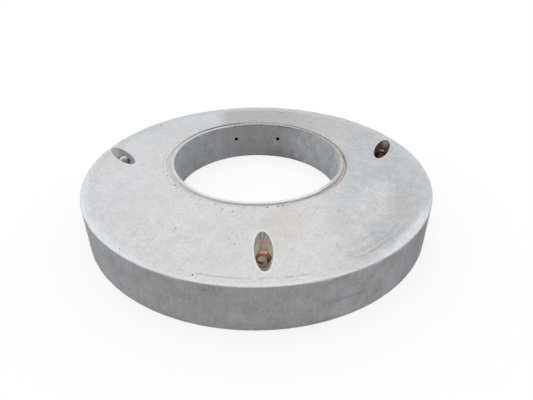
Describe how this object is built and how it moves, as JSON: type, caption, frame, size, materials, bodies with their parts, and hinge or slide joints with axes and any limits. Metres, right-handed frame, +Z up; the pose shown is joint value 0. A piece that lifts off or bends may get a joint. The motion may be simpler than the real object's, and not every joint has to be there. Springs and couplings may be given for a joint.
{
  "type": "concrete manhole reducing slab",
  "caption": "Round precast concrete slab with an off-centre access opening, a stepped joint round it and steel lifting loops sunk in boat-shaped recesses.",
  "frame": {"origin": "centre of the slab's outside circle, on its underside", "axes": "+Z up through the slab, +Y from the slab's centre towards the off-centre opening and its step holes, +X to the right"},
  "size_m": [2.04, 2.0396, 0.27],
  "materials": {
    "concrete": "matte",
    "loop_steel": "matte"
  },
  "bodies": {
    "root": {"slab": "concrete", "lifting_loop_front": "loop_steel", "lifting_loop_left": "loop_steel", "lifting_loop_right": "loop_steel"}
  },
  "joints": []
}
